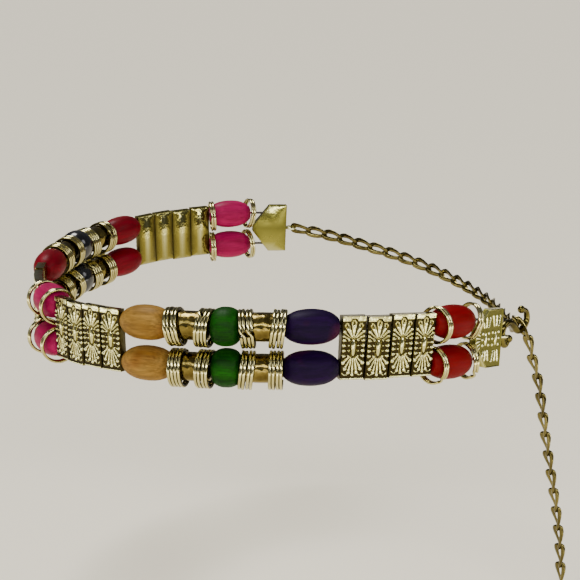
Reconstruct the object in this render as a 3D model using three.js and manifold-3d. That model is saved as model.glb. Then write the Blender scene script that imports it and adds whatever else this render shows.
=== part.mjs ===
// Beaded belt: two rows of drilled wooden beads strung through gold two-hole bars.
// A cast plate closes each end. A curb chain runs from one plate round the back to the
// S-shaped hook on the other plate, and its free end hangs down over the hip.
// Millimetres, +Z up, -Y the front. The origin is the centre of the waist opening.
import * as THREE from 'three';
import { mergeVertices } from 'three/addons/utils/BufferGeometryUtils.js';
import Module from 'manifold-3d';

const wasm = await Module();
wasm.setup();

// Clearances, and how far joined metal sinks into its neighbour
const CLEAR = 0.35;
const BEAD_GAP = 1.1;
const BAR_GAP = 0.75;
const GROUP_GAP = 0.3;
const ROW_GAP = 1.24;
const WELD = 0.2;

// The loop that the middle line between the two rows follows round the waist, whose two sides,
// as the viewer sees them, bend differently
const WAIST = { frontDepth: 122.9, backDepth: 135 };
const LEFT = { halfWidth: 138.6, squareness: 2.1, drop: 9.4 };
const RIGHT = { halfWidth: 130, squareness: 1.94, drop: 15.7 };
const SIDE_TILT = 4.3;
const LEAN = 2.3;
// Distance along the loop from its front point to the first round bead of the front
const FRONT_OFFSET = 46.7;

// Beads, rings and string
const STRING = { dia: 1.4, sides: 5 };
const BORE = STRING.dia + 1.2;
const OVAL = { length: 25.7, dia: 17.4, sides: 10 };
const ROUND = { length: 13.7, dia: 18.6, sides: 10 };
const DRUM = { length: 18.9, dia: 14.3, sides: 10 };
const RING = { dia: 19.3, wall: 1.5, width: 3.4, sides: 10 };
const RING_PAIR_GAP = 0.25;
// Outer profiles, from one end to the middle, as shares of half the length and half the diameter
const OVAL_PROFILE = [
  { along: 1, out: 0.38 },
  { along: 0.86, out: 0.72 },
  { along: 0.45, out: 0.95 },
];
const ROUND_PROFILE = [
  { along: 1, out: 0.52 },
  { along: 0.7, out: 0.86 },
  { along: 0.28, out: 0.99 },
];
const DRUM_PROFILE = [{ along: 1, out: 1 }];
const ROW_PITCH = Math.max(RING.dia, ROUND.dia, OVAL.dia) + ROW_GAP;

// Bars and plates are cast in the same thickness, with a raised sunburst
const CAST = { thickness: 4.3, front: 2.7 };
const BAR = { width: 11.95, overhang: 5.48, count: 4 };
const PLATE = { length: 22, overhang: 5, shoulder: 11.5, tip: 2, boreDepth: 6, lift: 2.2 };
const RELIEF = { height: 0.5, sink: 0.2, border: 0.9, rays: 10, bossHeight: 0.6, bossSides: 6 };
// Half sizes of the sunburst's hub, its ray valleys and its boss, as shares of its field
const HUB = { wide: 0.5, tall: 0.42 };
const BOSS = { wide: 0.3, tall: 0.27, topShare: 0.55 };

// Chain, hook and the soldered loops that they hang on
const CHAIN = { pitch: 11.3, wire: 1.9, width: 7.6, twist: 45, roundness: 2.4, around: 10, wireSides: 5 };
const CHAIN_INSET = 9;
const CHAIN_EASE = 45;
const LINK_WELD = 0.05;
const HOOK = { wire: 2.9, length: 21.2, height: 18.1, sides: 6, steps: 22, ballDia: 4.2, ballSides: 8 };
const LOOP = { wire: 1.5, bore: HOOK.wire + 1.5, around: 10, wireSides: 5 };

// The hook's line in the plane of its plate, as shares of its length and height, from its seat
// in the plate's loop
const HOOK_LINE = [
  { along: 0.3, up: -0.11 },
  { along: 0.175, up: -0.28 },
  { along: 0.04, up: -0.21 },
  { along: 0, up: 0.03 },
  { along: 0.05, up: 0.26 },
  { along: 0.245, up: 0.37 },
  { along: 0.455, up: 0.26 },
  { along: 0.635, up: 0.11 },
  { along: 0.83, up: 0.135 },
  { along: 1, up: 0.37 },
  { along: 0.95, up: 0.64 },
  { along: 0.745, up: 0.72 },
];
// Where the caught link sits on that line, and how far its lower end leans outward
const CATCH = { share: 0.69, lean: 28 };
// The free end's route below the caught link: away from the waist's axis and down
const FREE_END = [
  { right: 1, down: 6 },
  { right: 4.8, down: 17.5 },
  { right: 7.9, down: 31 },
  { right: 11.8, down: 55 },
  { right: 16.2, down: 79 },
  { right: 20.2, down: 101 },
  { right: 23.4, down: 125 },
  { right: 25, down: 150 },
];
const FREE_LINKS = 13;

// Colours and finishes
const FINISH = {
  gold: { color: 0xcdb878, metalness: 1, roughness: 0.25 },
  string: { color: 0x3a2f24, metalness: 0, roughness: 0.9 },
  red: { color: 0xa8101c, metalness: 0, roughness: 0.5 },
  purple: { color: 0x2c1848, metalness: 0, roughness: 0.45 },
  green: { color: 0x1f6a1f, metalness: 0, roughness: 0.45 },
  amber: { color: 0xbd8a3c, metalness: 0, roughness: 0.5 },
  pink: { color: 0xb02c68, metalness: 0, roughness: 0.5 },
  maroon: { color: 0x7c1422, metalness: 0, roughness: 0.5 },
  black: { color: 0x16161a, metalness: 0, roughness: 0.2 },
};

// The belt from the hook's plate to the chain's plate, towards the wearer's right
const ORDER = [
  { kind: 'plate', name: 'hook_plate' },
  { kind: 'short', beads: ['red'] },
  { kind: 'bars' },
  { kind: 'long', beads: ['purple', 'green', 'amber'] },
  { kind: 'bars' },
  { kind: 'short', beads: ['pink'] },
  { kind: 'bars' },
  { kind: 'long', beads: ['maroon', 'black', 'maroon'] },
  { kind: 'bars' },
  { kind: 'short', beads: ['pink'] },
  { kind: 'plate', name: 'chain_plate' },
];
const FRONT_LONG = 3;

// How each single ring hangs on its oval, in the order of the belt: turned with its outward side
// to the oval, and leaned with its top away from it, in degrees
const RING_HANG = [
  { turn: 15, upperLean: 9, lowerLean: -7, sag: 0.3, aside: 0.9 },
  { turn: 10, upperLean: 4, lowerLean: 2, sag: 1.1, aside: 2.5 },
  { turn: 8, upperLean: 2, lowerLean: 2, sag: 0.9, aside: 2.6 },
  { turn: 8, upperLean: 3, lowerLean: 3, sag: 1.1, aside: 2.5 },
  { turn: 10, upperLean: 4, lowerLean: 2, sag: 1.1, aside: 2.5 },
  { turn: 12, upperLean: 8, lowerLean: -6, sag: 0.3, aside: 0.9 },
];
const X = new THREE.Vector3(1, 0, 0);
const Z = new THREE.Vector3(0, 0, 1);
const rad = THREE.MathUtils.degToRad;
const SIDES = [
  { row: 'upper', up: 1 },
  { row: 'lower', up: -1 },
];

// Solids

function solid(geometry) {
  const bare = geometry.clone();
  bare.deleteAttribute('normal');
  bare.deleteAttribute('uv');
  const merged = mergeVertices(bare, 1e-4);
  return new wasm.Manifold(new wasm.Mesh({
    numProp: 3,
    vertProperties: new Float32Array(merged.attributes.position.array),
    triVerts: new Uint32Array(merged.index.array),
  }));
}

function geometryOf(body) {
  const mesh = body.getMesh();
  const geometry = new THREE.BufferGeometry();
  geometry.setAttribute('position', new THREE.BufferAttribute(mesh.vertProperties, 3));
  geometry.setIndex(new THREE.BufferAttribute(mesh.triVerts, 1));
  geometry.computeVertexNormals();
  return geometry;
}

function join(bodies) {
  return wasm.Manifold.union(bodies);
}

// A closed profile of radius and length, turned round X with a flat facet on top
function latheAlongX(points, sides) {
  const profile = points.map((p) => new THREE.Vector2(...p));
  return new THREE.LatheGeometry(profile, sides, Math.PI / sides).rotateZ(-Math.PI / 2);
}

// A turned body along X, from an outer profile given as shares from one end to the middle
function turned(size, profile) {
  const half = size.length / 2;
  const bore = BORE / 2;
  const outer = profile.map((p) => [p.out * size.dia / 2, -p.along * half]);
  const far = profile.map((p) => [p.out * size.dia / 2, p.along * half]).reverse();
  const points = [[bore, -half], ...outer, ...far, [bore, half], [bore, -half]];
  return latheAlongX(points, size.sides);
}

// A flat split ring, its axis along X, drawn as the band that its two turns fill
function splitRing() {
  const outer = RING.dia / 2;
  const inner = outer - RING.wall;
  const half = RING.width / 2;
  const points = [[inner, -half], [outer, -half], [outer, half], [inner, half], [inner, -half]];
  return latheAlongX(points, RING.sides);
}

function drumWithRings() {
  const inner = RING.dia / 2 - RING.wall;
  const sag = (inner - DRUM.dia / 2) * Math.cos(Math.PI / DRUM.sides) + WELD;
  const outerEdge = (DRUM.length + BEAD_GAP) / 2;
  const near = outerEdge - RING.width / 2;
  const next = near - RING.width - RING_PAIR_GAP;
  const places = [-near, -next, next, near];
  const rings = places.map((x) => solid(splitRing().translate(x, 0, -sag)));
  return geometryOf(join([solid(turned(DRUM, DRUM_PROFILE)), ...rings]));
}

function boreAlongX(length, x, z) {
  const cutter = new THREE.CylinderGeometry(BORE / 2, BORE / 2, length, 6);
  return solid(cutter.rotateZ(Math.PI / 2).translate(x, 0, z));
}

// A flat outline in x and z, filled from the plane y = back to the plane y = front
function slab(outline, back, front) {
  const shape = new THREE.Shape(outline.map((p) => new THREE.Vector2(...p)));
  const body = new THREE.ExtrudeGeometry(shape, { depth: front - back, bevelEnabled: false });
  return body.translate(0, 0, -front).rotateX(Math.PI / 2);
}

// Where a ray in the direction of an angle meets a squared oval of the given half sizes
function ovalPoint(angle, wide, tall, power) {
  const reach = Math.abs(Math.cos(angle)) ** power + Math.abs(Math.sin(angle)) ** power;
  const scale = reach ** (-1 / power);
  return [wide * Math.cos(angle) * scale, tall * Math.sin(angle) * scale];
}

// A raised sunburst with an oval boss, in a field of the given half sizes round x
function sunburst(x, wide, tall) {
  const outline = [];
  for (let i = 0; i < 2 * RELIEF.rays; i += 1) {
    const angle = Math.PI * (i + 0.5) / RELIEF.rays;
    const isTip = i % 2 === 0;
    const point = isTip
      ? ovalPoint(angle, wide, tall, 6)
      : ovalPoint(angle, wide * HUB.wide, tall * HUB.tall, 2);
    outline.push([x + point[0], point[1]]);
  }
  const rays = slab(outline, CAST.front - RELIEF.sink, CAST.front + RELIEF.height);
  const bossTop = CAST.front + RELIEF.height + RELIEF.bossHeight;
  const bossDepth = RELIEF.bossHeight + RELIEF.sink;
  const boss = new THREE.CylinderGeometry(BOSS.topShare, 1, bossDepth, RELIEF.bossSides);
  boss.scale(wide * BOSS.wide, 1, tall * BOSS.tall).translate(x, bossTop - bossDepth / 2, 0);
  return [solid(rays), solid(boss)];
}

function bar() {
  const halfWidth = BAR.width / 2;
  const halfHeight = ROW_PITCH / 2 + BAR.overhang;
  const outline = [
    [-halfWidth, -halfHeight], [halfWidth, -halfHeight],
    [halfWidth, halfHeight], [-halfWidth, halfHeight],
  ];
  const body = solid(slab(outline, CAST.front - CAST.thickness, CAST.front));
  const relief = sunburst(0, halfWidth - RELIEF.border, halfHeight - RELIEF.border);
  const bores = SIDES.map((side) => boreAlongX(2 * BAR.width, 0, side.up * ROW_PITCH / 2));
  return geometryOf(join([body, ...relief]).subtract(join(bores)));
}

// Half the plate's height, and where its slanted edge crosses the rows
const plateHalf = ROW_PITCH / 2 + PLATE.overhang;
const slant = (plateHalf - ROW_PITCH / 2) / (plateHalf - PLATE.tip);
const plateEdgeAtRow = PLATE.shoulder + slant * (PLATE.length - PLATE.shoulder);
const plateBoreEnd = plateEdgeAtRow - PLATE.boreDepth;

// An end plate: x = 0 is its outer end with the loop, and its tip points to the beads
function plate() {
  const outline = [
    [0, -plateHalf], [PLATE.shoulder, -plateHalf], [PLATE.length, -PLATE.tip],
    [PLATE.length, PLATE.tip], [PLATE.shoulder, plateHalf], [0, plateHalf],
  ];
  const body = solid(slab(outline, CAST.front - CAST.thickness, CAST.front));
  const fieldWide = (PLATE.shoulder + PLATE.tip) / 4;
  const fieldTall = plateHalf - 2 * RELIEF.border;
  const reliefs = [
    ...sunburst(RELIEF.border + fieldWide, fieldWide, fieldTall),
    ...sunburst(RELIEF.border + 3 * fieldWide, fieldWide, fieldTall * 0.8),
  ];
  const boreLength = PLATE.length - plateBoreEnd;
  const bores = SIDES.map((side) => {
    return boreAlongX(boreLength, plateBoreEnd + boreLength / 2, side.up * ROW_PITCH / 2);
  });
  const ring = new THREE.TorusGeometry(loopRadius, LOOP.wire / 2, LOOP.wireSides, LOOP.around);
  const loop = solid(ring.translate(-loopCentre, 0, 0));
  return geometryOf(join([body.subtract(join(bores)), ...reliefs, loop]));
}

const loopRadius = (LOOP.bore + LOOP.wire) / 2;
const loopCentre = loopRadius + LOOP.wire / 2 - 2 * WELD;

class Polyline extends THREE.Curve {
  constructor(points) {
    super();
    this.points = points;
  }

  getPoint(t, target = new THREE.Vector3()) {
    const place = t * (this.points.length - 1);
    const i = Math.min(Math.floor(place), this.points.length - 2);
    return target.lerpVectors(this.points[i], this.points[i + 1], place - i);
  }

  getPointAt(t, target) {
    return this.getPoint(t, target);
  }
}

function discShape(dia, sides) {
  const points = [];
  for (let i = 0; i < sides; i += 1) {
    const angle = 2 * Math.PI * i / sides;
    points.push(new THREE.Vector2(Math.cos(angle) * dia / 2, Math.sin(angle) * dia / 2));
  }
  return new THREE.Shape(points);
}

function tube(curve, dia, sides, steps) {
  return new THREE.ExtrudeGeometry(discShape(dia, sides), { steps, extrudePath: curve });
}

// Places round the waist

class WaistLoop extends THREE.Curve {
  getPoint(t, target = new THREE.Vector3()) {
    const angle = 2 * Math.PI * t;
    const { halfWidth, squareness, drop } = t < 0.5 ? LEFT : RIGHT;
    const depth = Math.cos(angle) > 0 ? WAIST.frontDepth : WAIST.backDepth;
    const wideShare = Math.abs(Math.sin(angle) / halfWidth) ** squareness;
    const deepShare = Math.abs(Math.cos(angle) / depth) ** squareness;
    const reach = (wideShare + deepShare) ** (-1 / squareness);
    const x = -reach * Math.sin(angle);
    const y = -reach * Math.cos(angle);
    const turn = Math.atan2(-x / halfWidth, -y / depth);
    const z = -drop * (1 - Math.cos(2 * turn)) / 2 + SIDE_TILT * Math.sin(turn);
    return target.set(x, y, z);
  }
}

const waist = new WaistLoop();
waist.arcLengthDivisions = 1440;
const waistLength = waist.getLength();

// The point of the loop at a station, with its directions along, outward and up
function frameAt(station) {
  const share = THREE.MathUtils.euclideanModulo((FRONT_OFFSET + station) / waistLength, 1);
  const point = waist.getPointAt(share);
  const along = waist.getTangentAt(share);
  const level = new THREE.Vector3(-along.y, along.x, 0).normalize();
  const leaning = Z.clone().multiplyScalar(Math.cos(rad(LEAN)));
  leaning.addScaledVector(level, -Math.sin(rad(LEAN)));
  const outward = leaning.clone().cross(along).normalize();
  const up = along.clone().cross(outward);
  return { point, along, outward, up };
}

function rowPoint(station, side) {
  const at = frameAt(station);
  return at.point.addScaledVector(at.up, side * ROW_PITCH / 2);
}

// A placing whose x runs from one point to another and whose z is as near to up as it can be
function placeBetween(from, to, up) {
  const along = to.clone().sub(from).normalize();
  const outward = up.clone().cross(along).normalize();
  const trueUp = along.clone().cross(outward);
  const middle = from.clone().lerp(to, 0.5);
  return new THREE.Matrix4().makeBasis(along, outward, trueUp).setPosition(middle);
}

// The strung part

const ovalPitch = OVAL.length + BEAD_GAP;
const roundPitch = ROUND.length + BEAD_GAP;
const drumPitch = DRUM.length + BEAD_GAP;
const barPitch = BAR.width + BAR_GAP;
const LENGTHS = {
  plate: PLATE.length + RING.width / 2,
  short: ovalPitch + 2 * GROUP_GAP,
  bars: BAR.count * barPitch,
  long: 2 * ovalPitch + 2 * drumPitch + roundPitch + 2 * GROUP_GAP,
};

const belt = new THREE.Group();
const stringPoints = { upper: [], lower: [] };
const counts = {};

function nextNumber(kind) {
  counts[kind] = (counts[kind] ?? 0) + 1;
  return counts[kind];
}

function add(name, geometry, finish, placing) {
  const material = new THREE.MeshStandardMaterial(FINISH[finish]);
  const mesh = new THREE.Mesh(geometry, material);
  mesh.name = name;
  if (placing) mesh.applyMatrix4(placing);
  belt.add(mesh);
}

// Adds one bead to both rows between two stations, and the string's points at its ends
function addBeads(kind, from, to, makeGeometry, finish) {
  const number = nextNumber(kind);
  const up = frameAt((from + to) / 2).up;
  for (const side of SIDES) {
    const start = rowPoint(from, side.up);
    const end = rowPoint(to, side.up);
    const placing = placeBetween(start, end, up);
    add(`${side.row}_${kind}_${number}`, makeGeometry(), finish, placing);
    stringPoints[side.row].push(start, end);
  }
}

function addOval(from, finish) {
  addBeads('oval', from, from + ovalPitch, () => turned(OVAL, OVAL_PROFILE), finish);
  return from + ovalPitch;
}

function addRound(from, finish) {
  addBeads('round', from, from + roundPitch, () => turned(ROUND, ROUND_PROFILE), finish);
  return from + roundPitch;
}

function addDrum(from) {
  addBeads('drum', from, from + drumPitch, drumWithRings, 'gold');
  return from + drumPitch;
}

// A loose ring round an oval's end; towards is 1 where the oval lies at higher stations
function addSingleRing(station, towards) {
  const number = nextNumber('ring');
  const hang = RING_HANG[(number - 1) % RING_HANG.length];
  const middle = station + towards * hang.aside;
  const up = frameAt(middle).up;
  for (const side of SIDES) {
    const start = rowPoint(middle - 1, side.up);
    const end = rowPoint(middle + 1, side.up);
    const placing = placeBetween(start, end, up);
    const ring = splitRing();
    const lean = side.up > 0 ? hang.upperLean : hang.lowerLean;
    ring.rotateZ(-towards * rad(hang.turn)).rotateY(-towards * rad(lean));
    ring.translate(0, 0, -hang.sag);
    add(`${side.row}_ring_${number}`, ring, 'gold', placing);
  }
}

function addShort(from, beads) {
  addSingleRing(from, 1);
  const end = addOval(from + GROUP_GAP, beads[0]) + GROUP_GAP;
  addSingleRing(end, -1);
  return end;
}

function addLong(from, beads) {
  let station = addOval(from + GROUP_GAP, beads[0]);
  station = addDrum(station);
  station = addRound(station, beads[1]);
  station = addDrum(station);
  return addOval(station, beads[2]) + GROUP_GAP;
}

function addBars(from) {
  for (let i = 0; i < BAR.count; i += 1) {
    const start = from + i * barPitch;
    const middle = frameAt(start + barPitch / 2);
    const placing = placeBetween(frameAt(start).point, frameAt(start + barPitch).point, middle.up);
    add(`bar_${nextNumber('bar')}`, bar(), 'gold', placing);
    for (const side of SIDES) {
      stringPoints[side.row].push(rowPoint(start, side.up), rowPoint(start + barPitch, side.up));
    }
  }
  return from + BAR.count * barPitch;
}

// Adds a plate whose tip points to the beads; towards is 1 where they lie at higher stations
function addPlate(name, outerEnd, towards) {
  const outer = frameAt(outerEnd);
  const start = outer.point.clone().addScaledVector(outer.outward, PLATE.lift);
  const end = frameAt(outerEnd + towards * PLATE.length).point;
  const up = frameAt(outerEnd + towards * PLATE.length / 2).up;
  const placing = placeBetween(start, end, up.clone().multiplyScalar(towards));
  placing.setPosition(start);
  const shape = plate();
  add(name, shape, 'gold', placing);
  const bottom = new THREE.Vector3();
  for (const side of SIDES) {
    bottom.set(plateBoreEnd + CLEAR, 0, towards * side.up * ROW_PITCH / 2);
    stringPoints[side.row].push(bottom.clone().applyMatrix4(placing));
  }
  return placing;
}

const beforeFront = ORDER.slice(0, FRONT_LONG).reduce((sum, group) => sum + LENGTHS[group.kind], 0);
let station = -(beforeFront + LENGTHS.long / 2);
const plates = {};
for (const [i, group] of ORDER.entries()) {
  const end = station + LENGTHS[group.kind];
  if (group.kind === 'plate' && i === 0) plates.hook = addPlate(group.name, station, 1);
  if (group.kind === 'plate' && i > 0) plates.chain = addPlate(group.name, end, -1);
  if (group.kind === 'short') addShort(station, group.beads);
  if (group.kind === 'long') addLong(station, group.beads);
  if (group.kind === 'bars') addBars(station);
  station = end;
}
const beltEnd = station;

function distinct(points) {
  return points.filter((p, i) => i === 0 || p.distanceTo(points[i - 1]) > 0.05);
}

for (const side of SIDES) {
  const points = distinct(stringPoints[side.row]);
  const string = tube(new Polyline(points), STRING.dia, STRING.sides, points.length - 1);
  add(`${side.row}_string`, string, 'string');
}

// Hook

const hookSeat = loopCentre + LOOP.bore / 2 - CLEAR - HOOK.wire / 2;
const hookCurve = new THREE.CatmullRomCurve3(HOOK_LINE.map((p) => {
  return new THREE.Vector3(-(hookSeat + p.along * HOOK.length), 0, p.up * HOOK.height);
}));

function hook() {
  const ends = [hookCurve.getPoint(0), hookCurve.getPoint(1)];
  const balls = ends.map((p) => {
    const ball = new THREE.SphereGeometry(HOOK.ballDia / 2, HOOK.ballSides, HOOK.ballSides / 2);
    return solid(ball.translate(p.x, p.y, p.z));
  });
  return geometryOf(join([solid(tube(hookCurve, HOOK.wire, HOOK.sides, HOOK.steps)), ...balls]));
}

add('hook', hook(), 'gold', plates.hook);

// Chain

// A link along x, stretched from a torus to an oval and twisted from one angle to another
function link(pitch, twistFrom, twistTo) {
  const wireRadius = CHAIN.wire / 2;
  const halfLong = pitch / 2 + wireRadius - LINK_WELD / 2;
  const halfWide = (CHAIN.width - CHAIN.wire) / 2;
  const shape = new THREE.TorusGeometry(CHAIN.width, wireRadius, CHAIN.wireSides, CHAIN.around);
  const position = shape.attributes.position;
  for (let i = 0; i < position.count; i += 1) {
    const x = position.getX(i);
    const y = position.getY(i);
    const angle = Math.atan2(y, x);
    const offset = CHAIN.width - Math.hypot(x, y);
    const centre = ovalPoint(angle, halfLong, halfWide, CHAIN.roundness);
    const side = new THREE.Vector2(Math.cos(angle) / halfLong, Math.sin(angle) / halfWide).normalize();
    const point = new THREE.Vector3(
      centre[0] + side.x * offset,
      centre[1] + side.y * offset,
      -position.getZ(i),
    );
    const share = THREE.MathUtils.clamp(centre[0] / halfLong, -1, 1) / 2 + 0.5;
    point.applyAxisAngle(X, rad(THREE.MathUtils.lerp(twistFrom, twistTo, share)));
    position.setXYZ(i, point.x, point.y, point.z);
  }
  return shape;
}

// Points at equal straight distances along a curve, from its start to its end
function evenJoints(curve, count) {
  let shares = Array.from({ length: count + 1 }, (_, i) => i / count);
  for (let pass = 0; pass < 30; pass += 1) {
    const points = shares.map((s) => curve.getPointAt(s));
    const sums = [0];
    for (let i = 1; i <= count; i += 1) sums.push(sums[i - 1] + points[i].distanceTo(points[i - 1]));
    shares = shares.map((_, i) => {
      const goal = sums[count] * i / count;
      const j = Math.min(Math.max(sums.findIndex((sum) => sum >= goal), 1), count);
      const inside = (goal - sums[j - 1]) / (sums[j] - sums[j - 1]);
      return shares[j - 1] + inside * (shares[j] - shares[j - 1]);
    });
  }
  return shares.map((s) => curve.getPointAt(s));
}

// Points at a given straight distance from each other along a curve, from its start
function steppedJoints(curve, pitch, count) {
  const joints = [curve.getPointAt(0)];
  const fine = 4000;
  for (let i = 1; i <= fine && joints.length <= count; i += 1) {
    const point = curve.getPointAt(i / fine);
    if (point.distanceTo(joints[joints.length - 1]) >= pitch) joints.push(point);
  }
  return joints;
}

// The caught link's middle on the hook, and the directions there
const hookSpot = hookCurve.getPointAt(CATCH.share).applyMatrix4(plates.hook);
const hookWay = hookCurve.getTangentAt(CATCH.share).transformDirection(plates.hook).negate();
const hookOut = new THREE.Vector3().setFromMatrixColumn(plates.hook, 1);
const caughtDown = hookOut.clone().multiplyScalar(Math.sin(rad(CATCH.lean)));
caughtDown.addScaledVector(hookOut.clone().cross(hookWay), Math.cos(rad(CATCH.lean)));
const caughtTop = hookSpot.clone().addScaledVector(caughtDown, -CHAIN.pitch / 2);

// From inside the plate's loop round the back, near the body, to the caught link
function backRoute() {
  const reach = LOOP.bore / 2 - 2 * CLEAR;
  const first = new THREE.Vector3(-loopCentre - reach, 0, 0).applyMatrix4(plates.chain);
  const from = beltEnd + loopCentre + reach + CHAIN.pitch;
  const startOfBelt = -(beforeFront + LENGTHS.long / 2);
  const to = waistLength + startOfBelt - hookSeat - HOOK.length - CHAIN.pitch;
  const points = [first];
  const steps = 16;
  for (let i = 0; i <= steps; i += 1) {
    const at = frameAt(THREE.MathUtils.lerp(from, to, i / steps));
    const fromEnd = Math.min(i, steps - i) / steps * (to - from);
    const ease = THREE.MathUtils.smoothstep(fromEnd, -CHAIN.pitch, CHAIN_EASE);
    points.push(at.point.addScaledVector(at.outward, -CHAIN_INSET * ease));
  }
  points.push(caughtTop);
  return new THREE.CatmullRomCurve3(points);
}

function freeRoute(start) {
  const points = [start];
  for (const p of FREE_END) {
    points.push(new THREE.Vector3(start.x + p.right, start.y, start.z - p.down));
  }
  return new THREE.CatmullRomCurve3(points);
}

function linkBetween(from, to, normal, pitch, twistFrom) {
  const along = to.clone().sub(from).normalize();
  const side = normal.clone().cross(along).normalize();
  const up = along.clone().cross(side);
  const middle = from.clone().lerp(to, 0.5);
  const placing = new THREE.Matrix4().makeBasis(along, side, up).setPosition(middle);
  return solid(link(pitch, twistFrom, CHAIN.twist).applyMatrix4(placing));
}

function chain() {
  const back = backRoute();
  const backCount = Math.round(back.getLength() / CHAIN.pitch);
  const backJoints = evenJoints(back, backCount);
  const pitch = backJoints[1].distanceTo(backJoints[0]);
  const caughtBottom = caughtTop.clone().addScaledVector(caughtDown, pitch);
  const free = steppedJoints(freeRoute(caughtBottom), pitch, FREE_LINKS);
  const links = [];
  for (let i = 0; i < backCount; i += 1) {
    const along = backJoints[i + 1].clone().sub(backJoints[i]);
    const outward = new THREE.Vector3(-along.y, along.x, 0);
    links.push(linkBetween(backJoints[i], backJoints[i + 1], outward, pitch, i ? -CHAIN.twist : 0));
  }
  const hanging = [caughtTop, ...free];
  for (let i = 0; i + 1 < hanging.length; i += 1) {
    links.push(linkBetween(hanging[i], hanging[i + 1], hookWay, pitch, -CHAIN.twist));
  }
  return geometryOf(join(links));
}

add('chain', chain(), 'gold');

export default belt;
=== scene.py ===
"""Beaded belt: the looks of its beads, rings, cast bars, plates, hook and chain."""
from math import copysign, cos, pi, radians, sin

import bpy
import numpy as np
from mathutils import Matrix, Vector


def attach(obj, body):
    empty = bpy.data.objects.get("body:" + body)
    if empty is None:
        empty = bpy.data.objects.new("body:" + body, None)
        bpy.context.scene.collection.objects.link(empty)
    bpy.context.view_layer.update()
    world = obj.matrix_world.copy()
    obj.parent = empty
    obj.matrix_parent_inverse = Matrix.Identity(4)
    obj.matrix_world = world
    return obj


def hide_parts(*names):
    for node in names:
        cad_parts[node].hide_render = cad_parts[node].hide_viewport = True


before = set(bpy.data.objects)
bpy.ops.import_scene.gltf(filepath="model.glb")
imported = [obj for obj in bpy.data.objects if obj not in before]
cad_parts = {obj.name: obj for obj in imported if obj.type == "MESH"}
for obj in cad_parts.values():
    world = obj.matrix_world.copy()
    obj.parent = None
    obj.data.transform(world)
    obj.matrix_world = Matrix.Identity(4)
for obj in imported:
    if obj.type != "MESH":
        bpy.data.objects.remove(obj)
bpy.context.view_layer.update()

# Sizes are in mm, as in the CAD source, and MM turns them into metres
MM = 0.001
FULL_TURN = 2 * pi
CLEAR = 0.35
BEAD_GAP = 1.1
BAR_GAP = 0.75
GROUP_GAP = 0.3
ROW_GAP = 1.24

# The loop that the middle line between the two rows follows round the waist, whose two sides,
# as the viewer sees them, bend differently
WAIST = {"front_depth": 122.9, "back_depth": 135}
LEFT = {"half_width": 138.6, "squareness": 2.1, "drop": 9.4}
RIGHT = {"half_width": 130, "squareness": 1.94, "drop": 15.7}
SIDE_TILT = 4.3
LEAN = radians(2.3)
FRONT_OFFSET = 46.7

# Beads, rings and string
STRING_DIA = 1.4
BORE = STRING_DIA + 1.2
OVAL = {"length": 25.7, "dia": 17.4}
ROUND = {"length": 13.7, "dia": 18.6}
DRUM = {"length": 18.9, "dia": 14.3}
RING = {"dia": 19.3, "wall": 1.5, "width": 3.4}
RING_PAIR_GAP = 0.25
ROW_PITCH = RING["dia"] + ROW_GAP
OVAL_PITCH = OVAL["length"] + BEAD_GAP
ROUND_PITCH = ROUND["length"] + BEAD_GAP
DRUM_PITCH = DRUM["length"] + BEAD_GAP

# Wooden beads are a little larger here than in the CAD source, as the photo shows them
SEEN_OVAL = {"length": OVAL["length"] + 0.9, "dia": OVAL["dia"]}
SEEN_ROUND = {"length": ROUND["length"] + 0.6, "dia": ROUND["dia"] + 0.6}

# Profiles from the end to the middle, in shares of half length and half diameter
OVAL_TABLE = [(1, 0.46), (0.9, 0.61), (0.75, 0.77), (0.5, 0.915), (0.25, 0.98), (0, 1)]
ROUND_TABLE = [(1, 0.52), (0.93, 0.68), (0.76, 0.84), (0.5, 0.945), (0.22, 0.995), (0, 1)]
DRUM_TABLE = [(1, 0.82), (0.96, 0.93), (0.8, 0.96), (0.45, 0.985), (0, 1)]
BEAD_RIM = 0.25

# Bars and plates; the steps are how far each bar of a group sits above the middle line
CAST = {"thickness": 4.3, "front": 2.7, "back_bevel": 0.3}
BAR = {"width": 11.95, "overhang": 5.48, "count": 4}
BAR_PITCH = BAR["width"] + BAR_GAP
BAR_INSET = 0.05
BAR_FLARE = 0.32
BAR_STEPS = (0.1, 0.15, -0.5, 0)
PLATE = {"length": 22, "overhang": 5, "shoulder": 11.5, "tip": 2, "bore_depth": 6, "lift": 2.2}
PLATE_HALF = ROW_PITCH / 2 + PLATE["overhang"]
SLANT = (PLATE_HALF - ROW_PITCH / 2) / (PLATE_HALF - PLATE["tip"])
PLATE_BORE_END = (PLATE["shoulder"] + SLANT * (PLATE["length"] - PLATE["shoulder"])
                  - PLATE["bore_depth"])

# Hook and the soldered loops, with the hook's line and seat in the loop
HOOK = {"wire": 2.9, "length": 21.2, "height": 18.1, "ball_dia": 4.2}
HOOK_TAPER = {"tip": 0.85, "growth": 0.45}
LOOP = {"wire": 1.5, "bore": HOOK["wire"] + 1.5, "weld": 0.2}
LOOP_RADIUS = (LOOP["bore"] + LOOP["wire"]) / 2
LOOP_CENTRE = LOOP_RADIUS + LOOP["wire"] / 2 - 2 * LOOP["weld"]
HOOK_SEAT = LOOP_CENTRE + LOOP["bore"] / 2 - CLEAR - HOOK["wire"] / 2
HOOK_LINE = [
    (0.3, -0.11), (0.175, -0.28), (0.04, -0.21), (0, 0.03), (0.05, 0.26), (0.245, 0.37),
    (0.455, 0.26), (0.635, 0.11), (0.83, 0.135), (1, 0.37), (0.95, 0.64), (0.745, 0.72),
]

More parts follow.
